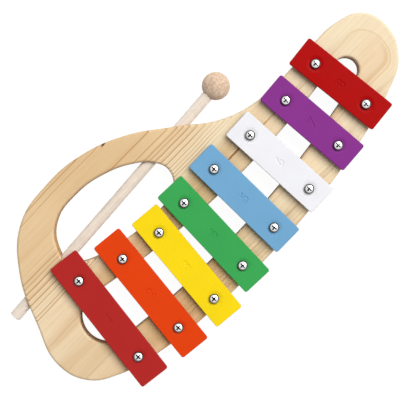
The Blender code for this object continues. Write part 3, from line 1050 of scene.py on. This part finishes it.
# %% The mallet's line
MALLET_JOINT = next(joint for joint in frame["joints"] if joint["name"] == "mallet_draw")
MALLET_AXIS = Vector(MALLET_JOINT["axis"]).normalized()
STICK_RADIUS = box_height("mallet_stick") / 2
BALL_RADIUS = box_height("mallet_head") / 2
BALL_TO = reach_along("mallet_head", BALL_MIDDLE, MALLET_AXIS)[1]
BALL_CENTRE = BALL_MIDDLE + MALLET_AXIS * (BALL_TO - BALL_RADIUS)
MALLET_TURN = MALLET_AXIS.to_track_quat("Z", "Y").to_matrix().to_4x4()
MALLET_PLACE = Matrix.Translation(BALL_CENTRE) @ MALLET_TURN
TAIL = reach_along("mallet_stick", BALL_CENTRE, MALLET_AXIS)[0]
print("the mallet reaches", round(-TAIL / MM), "mm behind the middle of its ball")

# %% Drill the board
DRILL_SIDES = 40
PILOT_RADIUS = 2.2 * MM
OVERRUN = 4 * MM
GAP = 0.3 * MM


def rod(name, radius, low, high, place):
    """Make a plain rod."""
    profile = [(0.0, low), (radius, low), (radius, high), (0.0, high)]
    return turned(name, profile, DRILL_SIDES, place)


def pilot_drills():
    """Make one object of all sixteen pilot drills."""
    shell = bmesh.new()
    for screw in SCREW_PLACES.values():
        place = Matrix.Translation((screw.x, screw.y, 0.0))
        shell.from_mesh(rod("pilot", PILOT_RADIUS, SCREW_POINT - GAP, BOARD_TOP + OVERRUN, place))
    return add_object("pilot_drills", close_mesh("pilot_drills", shell))


bore = rod("bore", STICK_RADIUS + GAP, TAIL, -BALL_RADIUS, MALLET_PLACE)
bore_drill = add_object("bore_drill", bore)
pilots = pilot_drills()
carve(board_work, bore_drill, pilots)
even_shading(board_work)
finish_piece("board", board_work, PINE, "frame", ["frame_board"])
drop(bore_drill, pilots)

# %% [markdown]
# The bars. All eight are one design: a flat plate with rounded corners, two holes in shallow
# dishes, and a length that follows from the note. A free bar sounds an octave higher when it is
# shorter by the square root of two, so a Geometry Nodes tree works the length out from the
# semitones. One tree with named inputs then makes all eight bars.

# %% The dished drill
BAR_THICKNESS = BAR_TOP - BAR_BOTTOM
HOLE_RADIUS = 3.2 * MM
DISH_RADIUS = 7.2 * MM
DISH_DEPTH = 0.6 * MM
DISH_STEPS = 6
ROUND_SIDES = 48


def dished_drill():
    """Turn a drill that leaves a round hole in a dish with soft lips."""
    profile = [(0.0, -OVERRUN), (HOLE_RADIUS, -OVERRUN)]
    for step in range(DISH_STEPS + 1):
        share = step / DISH_STEPS
        height = BAR_THICKNESS - DISH_DEPTH * (1 + math.cos(math.pi * share)) / 2
        profile.append((HOLE_RADIUS + (DISH_RADIUS - HOLE_RADIUS) * share, height))
    profile += [(DISH_RADIUS, BAR_THICKNESS + OVERRUN), (0.0, BAR_THICKNESS + OVERRUN)]
    return add_object("dished_drill", turned("dished_drill", profile, ROUND_SIDES))


drill = dished_drill()
print("the dish is", round(DISH_DEPTH / MM, 2), "mm deep")

# %% Helpers for Geometry Nodes
def as_instance(tree, item):
    """Read another object as an instance that can be copied."""
    return geometry(tree, "ObjectInfo", {"Object": item, "As Instance": True}, "Geometry")


def give_material(tree, shape, material, result):
    """End a tree with real geometry and its material."""
    real = geometry(tree, "RealizeInstances", {"Geometry": shape})
    plug(geometry(tree, "SetMaterial", {"Geometry": real, "Material": material}), result)


def give_tree(item, tree, values):
    """Put a tree on an object, and set its inputs by their identifiers."""
    modifier = item.modifiers.new(tree.name, "NODES")
    modifier.node_group = tree
    for socket in tree.interface.items_tree:
        if socket.in_out == "INPUT" and socket.name in values:
            modifier[socket.identifier] = values[socket.name]


print("every tree ends in real geometry and its material")

# %% The bar's plate
SEMITONES_THAT_HALVE_A_BAR = 24.0
CORNER_STEPS = 6
BAR_SIZES = {
    "Longest Bar": LONGEST_BAR,
    "Width": 26.6 * MM,
    "Thickness": BAR_THICKNESS,
    "Corner Radius": 1.8 * MM,
}


def bar_plate(tree, given):
    """Build the plate: a rectangle with rounded corners, raised to its thickness."""
    octaves = given["Semitones"] / -SEMITONES_THAT_HALVE_A_BAR
    length = given["Longest Bar"] * calculate("POWER", 2.0, octaves)
    sides = {"Width": given["Width"], "Height": length}
    outline = geometry(tree, "CurvePrimitiveQuadrilateral", sides)
    corners = {"Curve": outline, "Radius": given["Corner Radius"], "Count": CORNER_STEPS}
    rounded = geometry(tree, "FilletCurve", corners, mode="POLY")
    sheet = geometry(tree, "FillCurve", {0: rounded}, mode="NGONS")
    raised = {"Mesh": sheet, "Offset": join(z=given["Thickness"]), "Individual": False}
    joined = tree.nodes.new("GeometryNodeJoinGeometry")
    plug(geometry(tree, "ExtrudeMesh", raised), joined.inputs[0])
    plug(geometry(tree, "FlipFaces", {"Mesh": sheet}), joined.inputs[0])
    plate = {"Geometry": Wire(joined.outputs[0]), "Distance": WELD}
    return geometry(tree, "MergeByDistance", plate)


print("bars are", round(BAR_SIZES["Width"] / MM, 1), "mm wide")

# %% The tuned bar, as a Geometry Nodes tree
BAR_FITTINGS = {"Drill": "Object", "Place": "Vector", "Turn": "Vector", "Material": "Material"}


def bar_drills(tree, given):
    """Set the drill on both screw places."""
    half = given["Screw Span"] / 2.0
    line = {"Count": 2, "Start Location": join(y=half * -1.0), "Offset": join(y=half)}
    places = geometry(tree, "MeshLine", line, mode="END_POINTS")
    placed = {"Points": places, "Instance": as_instance(tree, given["Drill"])}
    copies = geometry(tree, "InstanceOnPoints", placed)
    return geometry(tree, "RealizeInstances", {"Geometry": copies})


def tuned_bar_tree():
    """Build the tree that makes one bar in its place."""
    inputs = {**BAR_SIZES, "Semitones": 0.0, "Screw Span": LONGEST_BAR / 2, **BAR_FITTINGS}
    tree, given, result = new_tree("Tuned bar", "Geometry", inputs, ("Bar",))
    cut = {"Mesh 1": bar_plate(tree, given), "Mesh 2": bar_drills(tree, given)}
    drilled = geometry(tree, "MeshBoolean", cut, operation="DIFFERENCE", solver="EXACT")
    laid = {"Geometry": drilled, "Translation": given["Place"], "Rotation": given["Turn"]}
    give_material(tree, geometry(tree, "Transform", laid), given["Material"], result["Bar"])
    return tree


BAR_TREE = tuned_bar_tree()
print("the tree has", len(BAR_TREE.nodes), "nodes")

# %% [markdown]
# Numbers. Each bar of such a toy has a small mark pressed into its middle before it is painted.
# Here it is a plain number from 1 to 8. A number with a rounded edge, sunk halfway into the
# bar, leaves a shallow groove with sloping sides, as a punch does.

# %% Make the eight bars
SEMITONES = (0, 2, 4, 5, 7, 9, 11, 12)
NUMBER_HEIGHT = 11 * MM
PUNCH_DEPTH = 0.38 * MM
BAR_EDGE_ROUND = 0.8 * MM


def number_punch(number, place, turn):
    """Make the punch that presses a number into a bar."""
    text = bpy.data.curves.new("punch", "FONT")
    adjust(text, body=str(number), size=NUMBER_HEIGHT, align_x="CENTER", align_y="CENTER")
    adjust(text, bevel_depth=PUNCH_DEPTH, bevel_resolution=1, resolution_u=6)
    mesh = close_curve("punch", text)
    mesh.transform(Matrix.Translation((place.x, place.y, BAR_TOP)) @ Matrix.Rotation(turn, 4, "Z"))
    return add_object("punch", mesh)


def make_bar(number):
    """Make one bar, round its edges and press its number."""
    front, back = (SCREW_PLACES[number, side] for side in SIDES)
    middle = (front + back) / 2
    along = back - front
    turn = math.atan2(-along.x, along.y)
    values = {
        **BAR_SIZES,
        "Semitones": float(SEMITONES[number - 1]),
        "Screw Span": along.length,
        "Drill": drill,
        "Place": (middle.x, middle.y, BAR_BOTTOM),
        "Turn": (0.0, 0.0, turn),
        "Material": ENAMELS[number - 1],
    }
    work = add_object("bar_work", bpy.data.meshes.new("bar_work"))
    give_tree(work, BAR_TREE, values)
    round_edges(work, BAR_EDGE_ROUND, segments=3)
    punch = number_punch(number, middle, turn)
    carve(work, punch)
    even_shading(work)
    node = f"bar_{number}"
    # The record lists the pine first, and then the paints of the bars in their order.
    finish_piece(f"{node}_enamelled", work, ENAMELS[number - 1], node, [node])
    drop(punch)


for number in BAR_NUMBERS:
    make_bar(number)
drop(drill)

# %% [markdown]
# Screws and bushes. Sixteen alike of each, so one is modelled and Geometry Nodes set a copy on
# every screw place, turned a few degrees at random as a hand leaves them. The pan head is a
# spun dome with a soft rim, and its cross is cut with a tapering four-winged punch.

# %% The screw's cross
CROSS_REACH = 2.8 * MM
CROSS_FOOT = 1.5 * MM
CROSS_SLOT = 1.1 * MM
CROSS_DEPTH = 1.6 * MM


def cross_punch():
    """Make the tapering cross that is pressed into a screw head."""
    shell = bmesh.new()
    half = CROSS_SLOT / 2
    mouth_reach = CROSS_REACH + OVERRUN * (CROSS_REACH - CROSS_FOOT) / CROSS_DEPTH
    levels = []
    for height, reach in ((HEAD_TOP - CROSS_DEPTH, CROSS_FOOT), (HEAD_TOP + OVERRUN, mouth_reach)):
        ring = []
        for quarter in range(4):
            turn = Matrix.Rotation(quarter * math.pi / 2, 2)
            for corner in ((reach, -half), (reach, half), (half, half)):
                ring.append(shell.verts.new((*(turn @ Vector(corner)), height)))
        shell.faces.new(ring)
        levels.append(ring)
    foot, mouth = levels
    for corner in range(len(foot)):
        following = (corner + 1) % len(foot)
        shell.faces.new((foot[corner], foot[following], mouth[following], mouth[corner]))
    return add_object("cross_punch", close_mesh("cross_punch", shell))


print("the cross is", round(2 * CROSS_REACH / MM, 1), "mm across")

# %% One screw
HEAD_RADIUS = 4.1 * MM
HEAD_HEIGHT = 2.8 * MM
RIM_HEIGHT = 0.7 * MM
SHANK_RADIUS = 1.9 * MM
POINT_LENGTH = 3 * MM
CROSS_EDGE_ROUND = 0.08 * MM
DOME_STEPS = 12


def make_screw():
    """Model one screw: pointed shank, domed pan head, pressed cross."""
    underside = HEAD_TOP - HEAD_HEIGHT
    rim_top = underside + RIM_HEIGHT
    soft = RIM_HEIGHT / 4
    dome = HEAD_TOP - rim_top
    profile = [
        (0.0, SCREW_POINT),
        (SHANK_RADIUS, SCREW_POINT + POINT_LENGTH),
        (SHANK_RADIUS, underside),
        (HEAD_RADIUS - soft, underside),
        (HEAD_RADIUS, underside + soft),
    ]
    for step in range(DOME_STEPS):
        angle = math.pi / 2 * step / DOME_STEPS
        profile.append((HEAD_RADIUS * math.cos(angle), rim_top + dome * math.sin(angle)))
    profile.append((0.0, HEAD_TOP))
    blank = add_object("screw_blank", turned("screw_blank", profile, ROUND_SIDES))
    punch = cross_punch()
    carve(blank, punch)
    round_edges(blank, CROSS_EDGE_ROUND, segments=2)
    even_shading(blank)
    screw = add_object("screw_model", shape_of(blank))
    drop(blank, punch)
    return screw


screw_model = make_screw()
print("one screw:", len(screw_model.data.polygons), "faces")

# %% One bush
FLANGE_RADIUS = 5.6 * MM
FLANGE_THICKNESS = 3 * MM
BUSH_ROUND = 0.6 * MM
BUSH_ROUND_STEPS = 4


def make_bush():
    """Model one rubber bush: a flange with a rounded edge, and a sleeve."""
    hole = SHANK_RADIUS + GAP
    sleeve = HOLE_RADIUS - GAP
    flange_top = FLANGE_BOTTOM + FLANGE_THICKNESS
    inner = FLANGE_RADIUS - BUSH_ROUND
    profile = [(hole, FLANGE_BOTTOM)]
    quarters = ((-math.pi / 2, FLANGE_BOTTOM + BUSH_ROUND), (0.0, flange_top - BUSH_ROUND))
    for start, height in quarters:
        profile += arc(Vector((inner, height)), BUSH_ROUND, start, math.pi / 2, BUSH_ROUND_STEPS)
    profile += [(sleeve, flange_top), (sleeve, SLEEVE_TOP), (hole, SLEEVE_TOP)]
    return add_object("bush_model", turned("bush_model", profile, ROUND_SIDES))


bush_model = make_bush()
print("one bush:", len(bush_model.data.polygons), "faces")

# %% Set both on all sixteen places
TURN_SPREAD = math.radians(7)


def set_on_places_tree():
    """Build the tree that sets a copy of a model on every point."""
    inputs = {
        "Places": "Geometry",
        "Model": "Object",
        "Turn Spread": 0.0,
        "Seed": 0,
        "Material": "Material",
    }
    tree, given, result = new_tree("Set on places", "Geometry", inputs, ("Copies",))
    model = as_instance(tree, given["Model"])
    spread = given["Turn Spread"]
    random = {2: spread * -1.0, 3: spread, "Seed": given["Seed"]}
    turn = Wire(add_node(tree, "FunctionNodeRandomValue", random, data_type="FLOAT").outputs[1])
    placed = {"Points": given["Places"], "Instance": model, "Rotation": join(z=turn)}
    copies = geometry(tree, "InstanceOnPoints", placed)
    give_material(tree, copies, given["Material"], result["Copies"])
    return tree


PLACES_TREE = set_on_places_tree()


def set_copies(name, model, material, node_start, spread=0.0, seed=0):
    """Set a copy of a model on every screw place, as one finished piece."""
    mesh = bpy.data.meshes.new("screw_places")
    mesh.from_pydata([(place.x, place.y, 0.0) for place in SCREW_PLACES.values()], [], [])
    work = add_object("copies_work", mesh)
    values = {"Model": model, "Turn Spread": spread, "Seed": seed, "Material": material}
    give_tree(work, PLACES_TREE, values)
    nodes = [f"{node_start}_{number}_{side}" for number in BAR_NUMBERS for side in SIDES]
    finish_piece(name, work, material, "frame", nodes)
    drop(model)


set_copies("screws", screw_model, PLATING, "screw", spread=TURN_SPREAD, seed=4)
set_copies("bushes", bush_model, RUBBER, "bush")

# %% [markdown]
# The mallet. A ball turned on a lathe with a blind socket, glued on a dowel. Both are spun
# profiles laid on the line of the bore. The dowel's tail is sanded round.

# %% The ball and the stick
BALL_SIDES = 64
BALL_RINGS = 40
SOCKET_DEPTH = 15 * MM
TAIL_ROUND = 0.6 * MM
TAIL_ROUND_STEPS = 4


def make_ball():
    """Turn the ball, with the socket for its stick."""
    bore_radius = STICK_RADIUS + GAP
    radius = BALL_RADIUS - SANDED_OFF
    mouth = math.asin(bore_radius / radius)
    socket_end = -BALL_RADIUS + SOCKET_DEPTH + GAP
    profile = [(0.0, socket_end), (bore_radius, socket_end)]
    for step in range(BALL_RINGS + 1):
        angle = mouth + (math.pi - mouth) * step / BALL_RINGS
        profile.append((radius * math.sin(angle), -radius * math.cos(angle)))
    return add_object("ball_work", turned("mallet_ball", profile, BALL_SIDES, MALLET_PLACE))


def make_stick():
    """Turn the dowel, with a sanded tail."""
    radius = STICK_RADIUS - SANDED_OFF
    top = -BALL_RADIUS + SOCKET_DEPTH
    tail = TAIL + SANDED_OFF
    corner = Vector((radius - TAIL_ROUND, tail + TAIL_ROUND))
    sanded = arc(corner, TAIL_ROUND, -math.pi / 2, math.pi / 2, TAIL_ROUND_STEPS)
    profile = [(0.0, tail), *sanded, (radius, top), (0.0, top)]
    return add_object("stick_work", turned("mallet_dowel", profile, ROUND_SIDES, MALLET_PLACE))


finish_piece("mallet_ball", make_ball(), BALL_MATERIAL, "mallet", ["mallet_head"])
finish_piece("mallet_dowel", make_stick(), STICK_MATERIAL, "mallet", ["mallet_stick"])

# %% [markdown]
# The floor. The toy lies on a white sweep. A camera ray sees the floor mostly as plain white
# and a little as a real surface, so the background is white and still keeps a soft shadow. All
# other rays meet an ordinary pale floor, so it doesn't light the toy more than a floor would.

# %% The floor
FLOOR_SIZE = 6.0
FLOOR_DROP = 0.2 * MM
FLOOR_GLOW = 0.955
FLOOR_PAINT = (0.12, 0.12, 0.12, 1.0)
PALE_FLOOR = (0.88, 0.88, 0.88, 1.0)


def mirror_rays(ray):
    """Mask the rays that reach a surface by way of a mirror or a glass."""
    return calculate("MAXIMUM", ray["Is Glossy Ray"], ray["Is Transmission Ray"])


def make_floor_material():
    """White to the camera and in reflections, pale paint to all other light."""
    material = bpy.data.materials.new("white_sweep")
    material.use_nodes = True
    tree = material.node_tree
    tree.nodes.remove(tree.nodes["Principled BSDF"])
    ray = outputs_of(tree.nodes.new("ShaderNodeLightPath"))
    seen = calculate("MAXIMUM", ray["Is Camera Ray"], mirror_rays(ray))
    glow = shader(tree, "Emission", {"Strength": FLOOR_GLOW})
    thin = shader(tree, "BsdfDiffuse", {"Color": FLOOR_PAINT})
    pale = shader(tree, "BsdfDiffuse", {"Color": PALE_FLOOR})
    white = shader(tree, "AddShader", {0: glow, 1: thin})
    either = shader(tree, "MixShader", {0: seen, 1: pale, 2: white})
    plug(either, tree.nodes["Material Output"].inputs["Surface"])
    return material


def make_floor():
    """Lay a large floor just under the board."""
    half = FLOOR_SIZE / 2
    corners = [(-half, -half), (half, -half), (half, half), (-half, half)]
    mesh = bpy.data.meshes.new("floor")
    mesh.from_pydata([(x, y, -FLOOR_DROP) for x, y in corners], [], [(0, 1, 2, 3)])
    mesh.materials.append(make_floor_material())
    add_object("floor", mesh)


make_floor()
print("floor laid", FLOOR_SIZE, "m wide")

# %% [markdown]
# Light. One large soft lamp stands beyond the short bars, so that the bars' far edges catch a
# highlight and their near edges drop a soft shadow on the wood. The room adds a little even
# fill. Mirrors see a white room that is dark near the floor, a little dimmer on the side away
# from the lamp, and dark in a strip straight above, where the camera stands on its beam. That
# gives each plated screw a bright dome, a dark rim and a dark cross.

# %% The lamp
LAMP_POWER = 181.0
LAMP_SIZE = 3.2
LAMP_DISTANCE = 4.0
LAMP_ANGLE = math.radians(57)


def make_lamp():
    """Stand a square soft lamp on the +X side, aimed at the toy."""
    light = bpy.data.lights.new("soft_lamp", "AREA")
    adjust(light, energy=LAMP_POWER, size=LAMP_SIZE)
    away = Vector((math.cos(LAMP_ANGLE), 0.0, math.sin(LAMP_ANGLE)))
    turn = away.to_track_quat("Z", "Y")
    lamp = add_object("soft_lamp", light)
    lamp.location = away * LAMP_DISTANCE
    adjust(lamp, rotation_mode="QUATERNION", rotation_quaternion=turn)


make_lamp()
print("one lamp of", LAMP_POWER, "W")

# %% The room
ROOM_FILL = 0.27
ROOM_SHARES = ((0.0, 0.12), (0.4, 0.15), (0.55, 1.0), (1.0, 1.0))
STRIP_SHARES = ((0.0, 1.0), (0.93, 1.0), (0.97, 0.06), (1.0, 0.05))
STRIP_SHAPE = (0.5, 2.0, 1.0)
FAR_SIDE = (-0.5, 0.1, 0.8, 1.0)
WHITE = (1.0, 1.0, 1.0, 1.0)


def make_room():
    """Fill the room evenly, let mirrors see it by height, and show it white to the camera."""
    world = bpy.data.worlds.new("room")
    bpy.context.scene.world = world
    world.use_nodes = True
    tree = world.node_tree
    direction = shader(tree, "TexCoord", output="Generated")
    x, _, height = split(direction)
    stretched = shader(tree, "VectorMath", {0: direction, 1: STRIP_SHAPE}, operation="MULTIPLY")
    overhead = split(shader(tree, "VectorMath", {0: stretched}, operation="NORMALIZE"))[2]
    level = curve_through(height, ROOM_SHARES) * curve_through(overhead, STRIP_SHARES)
    ray = outputs_of(tree.nodes.new("ShaderNodeLightPath"))
    strength = remap(mirror_rays(ray), 0.0, 1.0, ROOM_FILL, level * remap(x, *FAR_SIDE))
    background = tree.nodes["Background"].inputs
    plug(remap(ray["Is Camera Ray"], 0.0, 1.0, strength, 1.0), background["Strength"])
    plug(WHITE, background["Color"])


make_room()
bpy.context.scene.view_settings.view_transform = "Standard"
print("the room fills in a level of", ROOM_FILL)

# %% [markdown]
# The camera. The photograph was taken from above with a long lens, with the row of bars running
# from lower left to upper right. The camera stands over the toy, looks almost straight down,
# and is rolled so that the top of the picture lies between +X and +Y.

# %% The camera
PICTURE_SIDE = 402
FOCAL_LENGTH_IN_PIXELS = 1404.8
SENSOR_WIDTH = 36.0
CAMERA_PLACE = Vector((33.7, -0.8, 1163.0)) * MM
CAMERA_AIM = Vector((-15.0, -8.7, 0.0)) * MM
PICTURE_TOP = Vector((0.7193, 0.6947, 0.0))


def make_camera():
    """Make the camera at the photograph's viewing angle."""
    data = bpy.data.cameras.new("camera")
    data.sensor_width = SENSOR_WIDTH
    data.lens = SENSOR_WIDTH * FOCAL_LENGTH_IN_PIXELS / PICTURE_SIDE
    camera = add_object("camera", data)
    back = (CAMERA_PLACE - CAMERA_AIM).normalized()
    right = PICTURE_TOP.cross(back).normalized()
    turn = Matrix((right, back.cross(right), back)).transposed().to_4x4()
    camera.matrix_world = Matrix.Translation(CAMERA_PLACE) @ turn
    bpy.context.scene.camera = camera
    return data


print("lens", round(make_camera().lens, 1), "mm")

# %% [markdown]
# Finish. The scene is brought up to date.

# %% Finish
bpy.context.view_layer.update()
